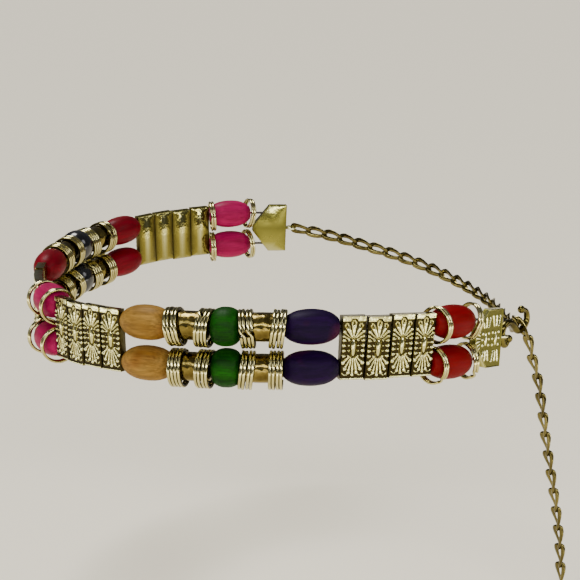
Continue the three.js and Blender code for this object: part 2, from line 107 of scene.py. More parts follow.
# Chain, whose links are flattened wire with squared ends
CHAIN = {"pitch": 11.3, "wire": 1.9, "width": 7.6, "twist": 45}
LINK = {"flat": 1.65, "power": 3.6, "weld": 0.05, "thin": 0.9, "end_growth": 0.25, "depth": 0.9}
CHAIN_INSET = 9
CHAIN_EASE = 45
CATCH = {"share": 0.69, "lean": 28}
FREE_END = [
    (1, 6), (4.8, 17.5), (7.9, 31), (11.8, 55), (16.2, 79), (20.2, 101), (23.4, 125), (25, 150),
]
FREE_LINKS = 13
FREE_TURN = radians(27)

# The belt from the hook's plate to the chain's plate, and how long each part of it is
ORDER = [
    ("plate", "hook_plate"),
    ("short", ["red"]),
    ("bars", None),
    ("long", ["purple", "green", "amber"]),
    ("bars", None),
    ("short", ["pink"]),
    ("bars", None),
    ("long", ["maroon", "black", "maroon"]),
    ("bars", None),
    ("short", ["pink"]),
    ("plate", "chain_plate"),
]
FRONT_LONG = 3
LENGTHS = {
    "plate": PLATE["length"] + RING["width"] / 2,
    "short": OVAL_PITCH + 2 * GROUP_GAP,
    "bars": BAR["count"] * BAR_PITCH,
    "long": 2 * OVAL_PITCH + 2 * DRUM_PITCH + ROUND_PITCH + 2 * GROUP_GAP,
}
SIDES = {"upper": 1, "lower": -1}

# Single rings, in degrees and mm: turn, lean of the upper and of the lower ring, sag and
# distance from the oval's end
RING_HANG = [
    (15, 9, -7, 0.3, 0.9), (10, 4, 2, 1.1, 2.5), (8, 2, 2, 0.9, 2.6),
    (8, 3, 3, 1.1, 2.5), (10, 4, 2, 1.1, 2.5), (12, 8, -6, 0.3, 0.9),
]
# Tilt in degrees of the rings at a drum's low and high end, positive where their tops lean
# outward, for odd and even drums
STACK_TILT = {("upper", 1): (8, 5), ("upper", 0): (6, 8),
              ("lower", 1): (1, -7), ("lower", 0): (3, 2)}
STACK_JITTER = {"lean": 1, "swing": 1.5}
STACK_SHIFT = 0.45
SAG_CLEARANCE = 0.05
rng = np.random.default_rng(7)

# In how many steps, or with how many sides, round and curved shapes are made
STEPS = {
    "waist": 7200, "profile": 5, "bead": 48, "ring": 100, "ring_wire": 12, "string": 10,
    "loop": 36, "loop_wire": 10, "hook": 8, "hook_wire": 14, "ball": 20, "link": 30,
    "link_wire": 10, "route": 16, "route_line": 60, "free_line": 400, "even_rounds": 30,
}
# Half the stretch over which a direction is measured, and the shortest step of a string
PROBE = {"waist": 0.5, "ring": 1, "hook": 0.2}
SHORTEST_STEP = 0.05


# Camera and stage

# Angles in degrees, distances in metres and the focal length in pixels of the photo's frame
CAMERA = {"azimuth": -7.7, "elevation": 15.2, "roll": 0.3, "distance": 0.8, "focal": 1418,
          "shift": (0.0026, -0.0152), "clip_end": 50}
IMAGE_SIZE = 580
SENSOR = 36
FLOOR = {"reach": 20, "height": -0.172, "color": (0.93, 0.86, 0.69), "roughness": 0.9}
SKY = {"color": (0.93, 0.95, 1), "strength": 0.15}
WHITE, WARM = (1, 1, 1), (1, 0.99, 0.97)
# Place, size and power of the soft lights above
SOFT_LIGHTS = {
    "key": ((-0.35, -1.2, 0.75), (0.9, 0.18), 8),
    "fill": ((0.55, -1.15, 0.5), (0.6, 0.15), 4),
}
# Azimuths of the low cards that the gold reflects, and what the cards have in common
CARDS = {"low left": -80, "low middle": -5, "low right": 58}
CARD = {"reach": 0.65, "height": -0.09, "size": (0.6, 0.06), "power": 0.65,
        "color": (1, 0.99, 0.96)}
# Azimuth, elevation, angular size, strength and colour of the far lights
SUNS = {
    "high": (-150, 66, 25, 3.0, WARM),
    "left": (-60, 35, 25, 0.5, WHITE),
    "right": (65, 35, 25, 0.5, WHITE),
}


def unit(v):
    return v / np.linalg.norm(v)


def direction(azimuth, elevation):
    """A way out from the belt; azimuth 0 is to the front and 90 to the viewer's right."""
    a, e = radians(azimuth), radians(elevation)
    return np.array([sin(a) * cos(e), -cos(a) * cos(e), sin(e)])


def show(thing):
    bpy.context.scene.collection.objects.link(thing)


def make_camera():
    azimuth, roll = radians(CAMERA["azimuth"]), radians(CAMERA["roll"])
    back = direction(CAMERA["azimuth"], CAMERA["elevation"])
    right = np.array([cos(azimuth), sin(azimuth), 0])
    up = np.cross(back, right)
    data = bpy.data.cameras.new("camera")
    data.lens = CAMERA["focal"] / IMAGE_SIZE * SENSOR
    data.sensor_width = SENSOR
    data.shift_x, data.shift_y = CAMERA["shift"]
    data.clip_end = CAMERA["clip_end"]
    camera = bpy.data.objects.new("camera", data)
    rolled_right = right * cos(roll) - up * sin(roll)
    rolled_up = up * cos(roll) + right * sin(roll)
    matrix = np.eye(4)
    matrix[:3] = np.array([rolled_right, rolled_up, back, back * CAMERA["distance"]]).T
    camera.matrix_world = Matrix(matrix.tolist())
    show(camera)
    bpy.context.scene.camera = camera


def new_light(name, kind, power, color, source):
    """A light that shines on the middle of the belt from where source lies."""
    data = bpy.data.lights.new(name, kind)
    data.energy = power
    data.color = color
    light = bpy.data.objects.new(name, data)
    light.rotation_euler = (-Vector(source)).to_track_quat("-Z", "Y").to_euler()
    show(light)
    return light, data


def area_light(name, place, size, power, color):
    light, data = new_light(name, "AREA", power, color, place)
    data.shape = "RECTANGLE"
    data.size, data.size_y = size
    light.location = place
    light.visible_camera = False


def sun(name, azimuth, elevation, angle, strength, color):
    """A soft far light."""
    source = direction(azimuth, elevation).tolist()
    _, data = new_light(name, "SUN", strength, color, source)
    data.angle = radians(angle)


def make_floor():
    mesh = bpy.data.meshes.new("floor")
    s, z = FLOOR["reach"], FLOOR["height"]
    mesh.from_pydata([(-s, -s, z), (s, -s, z), (s, s, z), (-s, s, z)], [], [(0, 1, 2, 3)])
    floor = bpy.data.objects.new("floor", mesh)
    show(floor)
    paint = Nodes("floor_paint")
    paint.set("Base Color", (*FLOOR["color"], 1))
    paint.set("Roughness", FLOOR["roughness"])
    mesh.materials.append(paint.material)


def make_lights():
    world = bpy.data.worlds.new("studio")
    bpy.context.scene.world = world
    world.use_nodes = True
    background = world.node_tree.nodes["Background"]
    background.inputs["Color"].default_value = (*SKY["color"], 1)
    background.inputs["Strength"].default_value = SKY["strength"]
    for name, (place, size, power) in SOFT_LIGHTS.items():
        area_light(name, place, size, power, WARM)
    for name, azimuth in CARDS.items():
        x, y, _ = CARD["reach"] * direction(azimuth, 0)
        area_light(name, (x, y, CARD["height"]), CARD["size"], CARD["power"], CARD["color"])
    for name, values in SUNS.items():
        sun(name, *values)


# Materials

class Nodes:
    """Makes one material and adds shader nodes to it with few words."""

    def __init__(self, name):
        self.material = bpy.data.materials.new(name)
        self.material.use_nodes = True
        self.tree = self.material.node_tree
        self.shader = self.tree.nodes["Principled BSDF"]

    def feed(self, socket, value):
        """Links an input to another node's output, or sets it to a plain value."""
        if isinstance(value, bpy.types.NodeSocket):
            self.tree.links.new(value, socket)
        else:
            socket.default_value = value

    def add(self, kind, values=(), **settings):
        node = self.tree.nodes.new(kind)
        for key, value in settings.items():
            setattr(node, key, value)
        for key, value in dict(values).items():
            self.feed(node.inputs[key], value)
        return node

    def noise(self, scale, along=1, detail=3, roughness=0.5):
        """A noise, drawn out along X where along is under 1."""
        place = self.add("ShaderNodeTexCoord").outputs["Object"]
        drawn = self.add("ShaderNodeMapping", {"Vector": place, "Scale": (along, 1, 1)})
        node = self.add("ShaderNodeTexNoise", {
            "Vector": drawn.outputs["Vector"], "Scale": scale,
            "Detail": detail, "Roughness": roughness})
        return node.outputs["Fac"]

    def ramp(self, fac, stops):
        """A colour between two stops of (place, colour)."""
        node = self.add("ShaderNodeValToRGB", {"Fac": fac})
        for element, (place, color) in zip(node.color_ramp.elements, stops):
            element.position = place
            element.color = (*color, 1)
        return node.outputs["Color"]

    def grey(self, fac, low, high, from_low=0.3, from_high=0.7):
        """A number that goes from low to high while fac goes from from_low to from_high."""
        node = self.add("ShaderNodeMapRange", {
            "Value": fac, "From Min": from_low, "From Max": from_high,
            "To Min": low, "To Max": high})
        return node.outputs["Result"]

    def calculate(self, operation, a, b):
        return self.add("ShaderNodeMath", {0: a, 1: b}, operation=operation).outputs[0]

    def mix(self, fac, a, b, blend="MIX"):
        """Two colours mixed; they are the node's inputs 6 and 7, and the result is output 2."""
        node = self.add("ShaderNodeMix", data_type="RGBA", blend_type=blend)
        for index, value in ((0, fac), (6, a), (7, b)):
            self.feed(node.inputs[index], value)
        return node.outputs[2]

    def bump(self, height, distance, strength=1):
        node = self.add("ShaderNodeBump", {
            "Height": height, "Distance": distance, "Strength": strength})
        self.set("Normal", node.outputs["Normal"])

    def set(self, name, value):
        self.feed(self.shader.inputs[name], value)


# Plated metal: noise scales, the stops of its clouds, and the stretches of the painted shade
# attribute over which it takes its half and full painted shade colours and it gets less metallic
# and duller
PLATING = {"clouds": 90, "scuffs": 260, "cloud_stops": (0.3, 0.62), "half_shade": (0.05, 0.5),
           "full_shade": (0.45, 0.9), "metal": (0.5, 0.9), "metal_left": 0.9,
           "dulling": (0.4, 0.9), "dull_by": 0.35}

# Turned wood: scale of each noise and how far it is drawn out along the bead, and the stretches
# over which patches, fine lines and pores set in
GRAIN = {"streaks": (260, 0.12), "wide": (70, 0.35), "patches": (60, 1), "lines": (1300, 0.08),
         "pores": (1100, 0.16)}
WOOD = {"spread": 0.14, "patch_range": (0.53, 0.7), "patch_strength": 0.8,
        "line_range": (0.35, 0.65), "line_dark": 0.28, "line_light": 0.15,
        "pore_range": (0.64, 0.76), "pore_shade": 0.35, "specular": 0.08,
        "bump": (0.00006, 0.6)}


def gold_material(name, bright, dull, roughness, dents=(800, 0.00004),
                  half_shade=(0.2, 0.155, 0.03), full_shade_color=(0.016, 0.011, 0.002)):
    """Plated metal with clouded colour and dents, given as a noise scale and a depth.

    Where the painted shade attribute rises it takes the half painted shade colour and then the full
    one, painted shade in recesses (with some tarnish there), between ring turns and on casting
    walls, and it gets duller.
    """
    n = Nodes(name)
    cloud = n.noise(PLATING["clouds"], detail=4)
    color = n.ramp(cloud, zip(PLATING["cloud_stops"], (dull, bright)))
    # Painted shade from the mesh attribute: half and full painted shade colours where it rises
    cavity = n.add("ShaderNodeAttribute", attribute_name="cavity").outputs["Fac"]
    half_shaded = n.mix(n.grey(cavity, 0, 1, *PLATING["half_shade"]), color, (*half_shade, 1))
    fully_shaded = n.mix(n.grey(cavity, 0, 1, *PLATING["full_shade"]), half_shaded, (*full_shade_color, 1))
    n.set("Base Color", fully_shaded)
    n.set("Metallic", n.grey(cavity, 1, PLATING["metal_left"], *PLATING["metal"]))
    scuffs = n.grey(n.noise(PLATING["scuffs"]), roughness * 0.75, roughness * 1.5)
    duller = n.grey(cavity, 0, PLATING["dull_by"], *PLATING["dulling"])
    n.set("Roughness", n.calculate("ADD", scuffs, duller))
    n.bump(n.noise(dents[0], detail=2), dents[1])
    return n.material


def wood_material(name, dark, light, roughness, flecks, streak=1.0, patch=None, grain=1.0):
    """Stained turned wood: streaks and fine grain along the bead, larger patches and dark pores.

    flecks, streak and grain say how strong the pores, streaks and fine grain are.
    """
    n = Nodes(name)
    streaks = n.noise(*GRAIN["streaks"], detail=5, roughness=0.6)
    wide = n.noise(*GRAIN["wide"], detail=2)
    halved = n.calculate("MULTIPLY", n.calculate("ADD", streaks, wide), 0.5)
    spread = WOOD["spread"] / streak
    color = n.ramp(halved, [(0.5 - spread, dark), (0.5 + spread, light)])
    if patch:
        clouds = n.noise(*GRAIN["patches"], detail=1)
        patches = n.grey(clouds, 0, WOOD["patch_strength"], *WOOD["patch_range"])
        color = n.mix(patches, color, (*patch, 1))
    darkest, lightest = 1 - WOOD["line_dark"] * grain, 1 + WOOD["line_light"] * grain
    lines = n.grey(n.noise(*GRAIN["lines"]), darkest, lightest, *WOOD["line_range"])
    grained = n.mix(1, color, lines, "MULTIPLY")
    pores = n.grey(n.noise(*GRAIN["pores"], detail=1), 0, flecks, *WOOD["pore_range"])
    pore_color = [c * WOOD["pore_shade"] for c in dark]
    n.set("Base Color", n.mix(pores, grained, (*pore_color, 1)))
    n.set("Roughness", n.grey(streaks, roughness * 0.85, roughness * 1.2))
    n.set("Specular IOR Level", WOOD["specular"])
    n.bump(streaks, *WOOD["bump"])
    return n.material


def black_material():
    n = Nodes("black_lacquer")
    cloud = n.noise(120, along=0.3)
    stops = [(0.35, (0.002, 0.002, 0.003)), (0.7, (0.008, 0.008, 0.009))]
    n.set("Base Color", n.ramp(cloud, stops))
    n.set("Roughness", n.grey(cloud, 0.12, 0.22))
    n.set("Coat Weight", 0.3)
    n.set("Coat Roughness", 0.08)
    n.bump(n.noise(300, along=0.3, detail=2), 0.00003)
    return n.material


def string_material():
    n = Nodes("waxed_cord")
    fibre = n.noise(1500, along=0.4)
    stops = [(0.35, (0.02, 0.015, 0.012)), (0.7, (0.07, 0.055, 0.045))]
    n.set("Base Color", n.ramp(fibre, stops))
    n.set("Roughness", n.grey(fibre, 0.6, 0.85))
    n.bump(fibre, 0.0001)
    return n.material


make_camera()
make_floor()
make_lights()
# The last two colours of GOLD and PLATE_GOLD are their half and full painted shade
GOLD = gold_material("gold_cast", (0.84, 0.82, 0.42), (0.42, 0.39, 0.14), 0.1, (420, 0.00026),
                     (0.24, 0.2, 0.038), (0.026, 0.018, 0.003))
PLATE_GOLD = gold_material("gold_plate", (0.95, 0.93, 0.55), (0.8, 0.77, 0.38), 0.14,
                           (420, 0.00012), (0.34, 0.31, 0.06), (0.115, 0.104, 0.017))
RING_GOLD = gold_material("gold_wire", (0.66, 0.6, 0.29), (0.44, 0.385, 0.15), 0.12)
BARREL_GOLD = gold_material("gold_barrel", (0.25, 0.19, 0.048), (0.07, 0.045, 0.009), 0.17,
                            (170, 0.0009))
CHAIN_GOLD = gold_material("gold_chain", (0.17, 0.14, 0.045), (0.07, 0.055, 0.017), 0.16)
HOOK_GOLD = gold_material("gold_hook", (0.135, 0.11, 0.028), (0.055, 0.043, 0.01), 0.15)
STRING = string_material()
WOODS = {
    "red": wood_material("red_wood", (0.12, 0, 0.0006), (0.155, 0, 0.0015), 0.5, 0.2, grain=0.4),
    "purple": wood_material("purple_wood", (0.003, 0.0002, 0.011), (0.012, 0.0006, 0.03), 0.5, 0.3,
                            patch=(0.045, 0.0003, 0.018)),
    "green": wood_material("green_wood", (0.0006, 0.019, 0.0004), (0.006, 0.068, 0.0006), 0.48,
                           0.3),
    "amber": wood_material("amber_wood", (0.17, 0.08, 0.01), (0.31, 0.172, 0.036), 0.48, 0.35,
                           streak=1.2, patch=(0.19, 0.072, 0.01)),
    "pink": wood_material("pink_wood", (0.2, 0.002, 0.035), (0.36, 0.007, 0.082), 0.42, 0.3,
                          grain=0.5),
    "maroon": wood_material("maroon_wood", (0.08, 0.0002, 0.003), (0.17, 0.0008, 0.008), 0.42, 0.3,
                            grain=0.6),
    "black": black_material(),
}


# Shapes

SMOOTH_ANGLE = radians(50)


class Shape:
    """Collects points in mm and faces, then makes one mesh in metres."""

    def __init__(self):
        self.points = []
        self.faces = []
        # Painted shade of each point, kept as a mesh attribute
        self.cavity = []

    def count(self):
        return sum(len(p) for p in self.points)

    def grid(self, rows, wrap_rows=False, wrap_around=True, caps=False, cavity=None):
        """Faces between rows of points; rows is an array (rows, around, 3)."""
        n, m = rows.shape[:2]
        first = self.count()
        self.points.append(rows.reshape(-1, 3))
        self.cavity.append(np.zeros(n * m) if cavity is None else cavity.reshape(-1))
        for i in range(n if wrap_rows else n - 1):
            a, b = first + i * m, first + (i + 1) % n * m
            for j in range(m if wrap_around else m - 1):
                k = (j + 1) % m
                self.faces.append((a + j, a + k, b + k, b + j))
        if caps:
            self.faces.append(tuple(first + j for j in reversed(range(m))))
            self.faces.append(tuple(first + (n - 1) * m + j for j in range(m)))

    def mesh(self, name):
        mesh = bpy.data.meshes.new(name)
        points = np.concatenate(self.points) * MM
        mesh.from_pydata(points.tolist(), [], self.faces)
        mesh.validate()
        # The painted shade goes to the gold materials as an attribute
        layer = mesh.attributes.new("cavity", "FLOAT", "POINT")
        layer.data.foreach_set("value", np.concatenate(self.cavity).astype(np.float32))
        mesh.shade_smooth()
        mesh.set_sharp_from_angle(angle=SMOOTH_ANGLE)
        return mesh


def add(name, mesh, placing, material, node):
    """Puts a mesh at a 4x4 placing in mm, in place of one CAD node."""
    if not mesh.materials:
        mesh.materials.append(material)
    piece = bpy.data.objects.new(name, mesh)
    matrix = np.array(placing, dtype=float)
    matrix[:3, 3] *= MM
    piece.matrix_world = Matrix(matrix.tolist())
    show(piece)
    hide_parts(node)
    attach(piece, "root")


def catmull(points, steps):
    """A smooth line through points, with a number of steps between each two."""
    p = np.asarray(points, dtype=float)
    p = np.concatenate([[2 * p[0] - p[1]], p, [2 * p[-1] - p[-2]]])
    out = []
    for i in range(1, len(p) - 2):
        for t in np.arange(steps) / steps:
            a, b, c, d = p[i - 1:i + 3]
            out.append(0.5 * (2 * b + (c - a) * t + (2 * a - 5 * b + 4 * c - d) * t ** 2
                              + (3 * b - a - 3 * c + d) * t ** 3))
    out.append(p[-2])
    return np.array(out)


def lengths_along(line):
    """The length of a line from its start to each of its points."""
    return np.concatenate([[0], np.cumsum(np.linalg.norm(np.diff(line, axis=0), axis=1))])


def point_at(line, lengths, at):
    """The point or points of a line at given lengths from its start."""
    return np.stack([np.interp(at, lengths, line[:, i]) for i in range(3)], axis=-1)


def turn_x(angle):
    c, s = cos(angle), sin(angle)
    return np.array([[1, 0, 0], [0, c, -s], [0, s, c]])


def turn_y(angle):
    c, s = cos(angle), sin(angle)
    return np.array([[c, 0, s], [0, 1, 0], [-s, 0, c]])


def turn_z(angle):
    c, s = cos(angle), sin(angle)
    return np.array([[c, -s, 0], [s, c, 0], [0, 0, 1]])


def round_angles(count):
    return FULL_TURN * np.arange(count) / count


def lathe(shape, profile):
    """A closed profile of (x, radius) points, turned round X."""
    rows = [[(x, r * cos(a), r * sin(a)) for a in round_angles(STEPS["bead"])]
            for x, r in profile]
    shape.grid(np.array(rows), wrap_rows=True)


def bead_profile(size, table):
    """The closed profile of a drilled bead, from shares of half length and half diameter."""
    half, radius, bore = size["length"] / 2, size["dia"] / 2, BORE / 2
    side = [(-a * half, r * radius) for a, r in table]
    side += [(-x, r) for x, r in reversed(side[:-1])]
    outer = catmull(side, STEPS["profile"])
    wide, inner = bore + BEAD_RIM, half - BEAD_RIM
    return [tuple(p) for p in outer] + [(half, wide), (inner, bore), (-inner, bore), (-half, wide)]


def tube(shape, line, radius, around, start_up=(0, 0, 1)):
    """A round tube along a line; radius is one number or one for each point."""
    line = np.asarray(line, dtype=float)
    radii = np.broadcast_to(radius, len(line))
    ways = np.gradient(line, axis=0)
    ways /= np.linalg.norm(ways, axis=1)[:, None]
    up = np.array(start_up, dtype=float)
    rows = []
    for point, way, r in zip(line, ways, radii):
        up = unit(up - way * (up @ way))
        side = np.cross(way, up)
        rows.append([point + r * (cos(a) * side + sin(a) * up)
                     for a in round_angles(around)])
    shape.grid(np.array(rows), caps=True)


def ball(shape, centre, radius):
    rows = []
    for t in np.linspace(-pi / 2, pi / 2, STEPS["ball"] // 2 + 1)[1:-1]:
        c, s = cos(t), sin(t)
        rows.append([centre + radius * np.array([c * cos(a), c * sin(a), s])
                     for a in round_angles(STEPS["ball"])])
    shape.grid(np.array(rows), caps=True)


# A split ring: a wire of two turns side by side, which cross over where its ends lie

CROSSING = radians(9)
TURN_GAP = 0.12
WIRE_POWER = 0.8


def squared(value):
    """A sine or cosine drawn towards 1 or -1, which squares a round section off."""
    return copysign(abs(value) ** WIRE_POWER, value)


# Shares of the wall outward and of a turn's width along, and where the painted shade on its flanks
# and inside begins
WIRE_SECTION = [(0.5 * squared(cos(a)), 0.5 * squared(sin(a)))
                for a in round_angles(STEPS["ring_wire"])]
FLANK = {"from": 0.3, "width": 0.2}
INSIDE = {"from": -0.2, "shade": 0.35}


def wire_painted_shade(shade):
    """The painted shade at each point of the wire's section: on its flanks by shade, and inside."""
    flank = [max(0, abs(along) - FLANK["from"]) / FLANK["width"] * shade
             for _, along in WIRE_SECTION]
    inside = [INSIDE["shade"] * (out < INSIDE["from"]) for out, _ in WIRE_SECTION]
    return np.clip(np.add(flank, inside), 0, 1)


def split_ring(shape, turn, centre, crossing, shade=0.9):
    """Adds a ring with its axis along X, turned and moved; crossing is where its ends lie."""
    radius = RING["dia"] / 2 - RING["wall"] / 2
    turn_width = RING["width"] / 2
    rows = []
    for a in np.linspace(CROSSING, 2 * FULL_TURN - CROSSING, STEPS["ring"]):
        share = np.clip((a - FULL_TURN) / CROSSING, -1, 1)
        offset = turn_width / 2 * sin(share * pi / 2)
        way = np.array([0, cos(a + crossing), sin(a + crossing)])
        row = []
        for out, along in WIRE_SECTION:
            local = way * (radius + out * RING["wall"])
            local[0] = offset + along * (turn_width - TURN_GAP)
            row.append(turn @ local + centre)
        rows.append(row)
    # Painted shade on the wire's flanks, where the turns meet, and on its inside
    shape.grid(np.array(rows), caps=True, cavity=np.tile(wire_painted_shade(shade), (len(rows), 1)))


# Places round the waist

def loop_points():
    phi = np.linspace(0, FULL_TURN, STEPS["waist"] + 1)
    half_width, squareness, drop = (np.where(phi < pi, LEFT[key], RIGHT[key])
                                    for key in ("half_width", "squareness", "drop"))
    depth = np.where(np.cos(phi) > 0, WAIST["front_depth"], WAIST["back_depth"])
    across = np.abs(np.sin(phi) / half_width) ** squareness
    forward = np.abs(np.cos(phi) / depth) ** squareness
    reach = (across + forward) ** (-1 / squareness)
    x, y = -reach * np.sin(phi), -reach * np.cos(phi)
    turn = np.arctan2(-x / half_width, -y / depth)
    z = -drop * (1 - np.cos(2 * turn)) / 2 + SIDE_TILT * np.sin(turn)
    return np.stack([x, y, z], axis=1)


LOOP_POINTS = loop_points()
LOOP_LENGTHS = lengths_along(LOOP_POINTS)
WAIST_LENGTH = LOOP_LENGTHS[-1]


def loop_point(station):
    return point_at(LOOP_POINTS, LOOP_LENGTHS, (FRONT_OFFSET + station) % WAIST_LENGTH)


def frame_at(station):
    """The point of the loop at a station, with its directions along, outward and up."""
    probe = PROBE["waist"]
    along = unit(loop_point(station + probe) - loop_point(station - probe))
    level = unit(np.array([-along[1], along[0], 0]))
    leaning = np.array([0, 0, cos(LEAN)]) - level * sin(LEAN)
    outward = unit(np.cross(leaning, along))
    return loop_point(station), along, outward, np.cross(along, outward)


def row_point(station, side):
    point, _, _, up = frame_at(station)
    return point + up * side * ROW_PITCH / 2


def place_between(start, end, up):
    """A placing midway between two points, with X from start to end and Z about up."""
    along = unit(end - start)
    outward = unit(np.cross(up, along))
    placing = np.eye(4)
    placing[:3] = np.array([along, outward, np.cross(along, outward), (start + end) / 2]).T
    return placing


def moved(placing, local):
    return placing[:3, :3] @ np.asarray(local, dtype=float) + placing[:3, 3]


# Relief of the bars and plates

# Rays on one side of the sunburst: start and end in shares of half the field, half widths in mm
TOP_PETALS = [((0, 0.38), (0, 0.81), 0.45, 1.6), ((0.14, 0.36), (0.59, 0.72), 0.45, 1.5)]
RAYS = [
    ((0.24, 0.33), (0.83, 0.53), 0.35, 0.95), ((0.3, 0.27), (0.86, 0.385), 0.35, 0.9),
    ((0, -0.34), (0, -0.84), 0.4, 0.9), ((0.13, -0.33), (0.35, -0.77), 0.4, 0.95),
    ((0.22, -0.31), (0.66, -0.65), 0.45, 1.05), ((0.3, -0.27), (0.84, -0.46), 0.45, 1.1),
]
# Levels of the ridges beside the boss, and the start, end and half width of their two parts
RIDGE_LEVELS = [0.245, 0.085, -0.075, -0.235]
RIDGE_PARTS = [(0.35, 0.4, 0.62), (0.7, 0.83, 1.0)]
BAND = {"share": 0.17, "height": 0.62, "edge": 0.02}
PETAL = {"height": 0.68, "groove": 0.4, "hollow": 0.62, "hollow_share": 0.42,
         "hollow_stretch": 1.5, "hollow_drop": 0.2}
RAY = {"height": 0.5, "slimness": 0.8, "pearl_height": 0.95}
RIDGE = {"height": 0.9, "narrow": 0.6, "fan": 1.03}
ARC = {"across": 0.62, "down": 0.76, "radius": 1.35, "half_width": 0.42, "height": 0.6,
       "fade": 0.3}
BOSS = {"across": 0.2, "middle": 0.02, "up": 0.28, "height": 1.1}
BOSS_RING = {"across": 0.29, "up": 0.33, "spread": 0.008, "height": 0.45}
BOTTOM_BORDER = {"width": 1.15, "height": 0.5}
SIDE_BORDER = {"width": 0.35, "height": 0.25, "sunk": 0.05}

# Strokes and pearls on one side of a plate's motif, with places in the same shares
STROKES = [((0, 0.45), (0, 0.8), 0.75), ((0.42, 0.44), (0.72, 0.8), 0.65),
           ((0, -0.45), (0, -0.78), 0.75), ((0.42, -0.42), (0.66, -0.8), 0.65)]
PEARLS = [((0.6, 0.22), 0.95), ((0.66, 0), 0.85), ((0.6, -0.22), 0.95)]
MOTIF = {"height": 0.85, "narrow": 0.7, "boss_half_width": 0.9, "boss_up": 0.27}
MOTIF_HALF_WIDTH = 4.1
MOTIF_HALF_HEIGHTS = (PLATE_HALF - 0.5, 0.9 * PLATE_HALF)
MOTIF_MIDDLES = (1.6 + MOTIF_HALF_WIDTH, 1.6 + 3 * MOTIF_HALF_WIDTH)
SPOKES = {"count": 11, "height": 0.42, "fade": 0.5, "offset": 0.01}
PLATE_BORDER = {"width": 0.7, "height": 0.4}
# The plain strip at a plate's hook end, and the painted shade that darkens it
HOOK_END = {"width": 1.1, "border": 2, "height": 0.2, "shade_reach": 2.2, "shade": 0.8}

# How far the relief's field lies back, the height above which gold has no painted shade, and
# how the edges of castings and borders fall away
FIELD_DROP = 0.12
UNSHADED_HEIGHT = 0.45
EDGE_ROUNDING = 0.3
BORDER_FALL, BORDER_DROP, BORDER_ROUNDING = 0.35, 0.35, 0.4
# Painted shade down the walls of a casting, from front to back, and on its sloping ends
WALL_PAINTED_SHADE = [[0.3], [0.66], [0.3]]
END_PAINTED_SHADE = 0.8
# Columns and rows of points over the front of a bar and of a plate
BAR_GRID = (57, 141)
PLATE_GRID = (81, 111)


def dome(distance, radius, height):
    return height * np.sqrt(np.clip(1 - (distance / radius) ** 2, 0, None))


def ray_height(x, z, start, end, narrow, broad, height):
    """A rounded ray that widens from its start to its end."""
    dx, dz = end[0] - start[0], end[1] - start[1]
    t = np.clip(((x - start[0]) * dx + (z - start[1]) * dz) / (dx * dx + dz * dz), 0, 1)
    distance = np.hypot(x - start[0] - t * dx, z - start[1] - t * dz)
    return dome(distance, narrow + (broad - narrow) * t, height)


def pearl_height(x, z, centre, radius, height):
    """A small dome, as the rays end in."""
    return dome(np.hypot(x - centre[0], z - centre[1]), radius, height)


def in_mm(rays, field):
    """Rays with their ends in mm, from shares of the field's half width and half height."""
    return [(np.multiply(start, field), np.multiply(end, field), *widths)
            for start, end, *widths in rays]


def petal_heights(side, z, field):
    """The plain top band, cut away round the petals, and the petals with their hollow heads."""
    petals = in_mm(TOP_PETALS, field)
    band = np.clip((z / field[1] - 1 + BAND["share"]) / BAND["edge"], 0, 1) * BAND["height"]
    heights = []
    for start, end, narrow, broad in petals:
        groove = PETAL["groove"]
        band = band * (ray_height(side, z, start, end, narrow + groove, broad + groove, 1) <= 0)
        petal = ray_height(side, z, start, end, narrow, broad, PETAL["height"])
        up = (z - end[1]) / PETAL["hollow_stretch"] + PETAL["hollow_drop"]
        away = np.hypot(side - end[0], up) / (PETAL["hollow_share"] * broad)
        heights.append(np.clip(petal - PETAL["hollow"] * np.exp(-away ** 2), 0, None))
    return [band] + heights


def ray_heights(side, z, field):
    """The rays with their pearls, and the ridges beside the boss."""
    heights = []
    for start, end, narrow, broad in in_mm(RAYS, field):
        slim = RAY["slimness"] * broad
        heights.append(ray_height(side, z, start, end, narrow, slim, RAY["height"]))
        heights.append(pearl_height(side, z, end, broad, RAY["pearl_height"]))
    ridges = [((inner, level), (outer, level * RIDGE["fan"]), RIDGE["narrow"] * wide, wide)
              for level in RIDGE_LEVELS for inner, outer, wide in RIDGE_PARTS]
    heights += [ray_height(side, z, *ridge, RIDGE["height"]) for ridge in in_mm(ridges, field)]
    return heights


def arc_height(side, z, field):
    """The arc in a lower corner, of which the part below its middle shows."""
    level = -ARC["down"] * field[1]
    distance = np.abs(np.hypot(side - ARC["across"] * field[0], z - level) - ARC["radius"])
    below = np.clip((level - z) / ARC["fade"], 0, 1)
    return ARC["height"] * below * np.clip(1 - (distance / ARC["half_width"]) ** 2, 0, 1)


def boss_height(x, z, field):
    """The oval boss in the middle, and the thin ring round it."""
    across = x / (BOSS["across"] * field[0])
    up = (z - BOSS["middle"] * field[1]) / (BOSS["up"] * field[1])
    boss = BOSS["height"] * np.sqrt(np.clip(1 - across ** 2 - up ** 2, 0, None))
    away = np.hypot(x / (BOSS_RING["across"] * field[0]), z / (BOSS_RING["up"] * field[1])) - 1
    ring = BOSS_RING["height"] * np.clip(1 - away ** 2 / BOSS_RING["spread"], 0, None)
    return np.maximum(boss, ring)


def sunburst(x, z, half_wide, half_tall):
    """Height in mm of the sunburst over its field, for arrays x and z."""
    side, field = np.abs(x), (half_wide, half_tall)
    heights = petal_heights(side, z, field) + ray_heights(side, z, field)
    heights += [arc_height(side, z, field), boss_height(x, z, field)]
    return np.max(heights, axis=0)


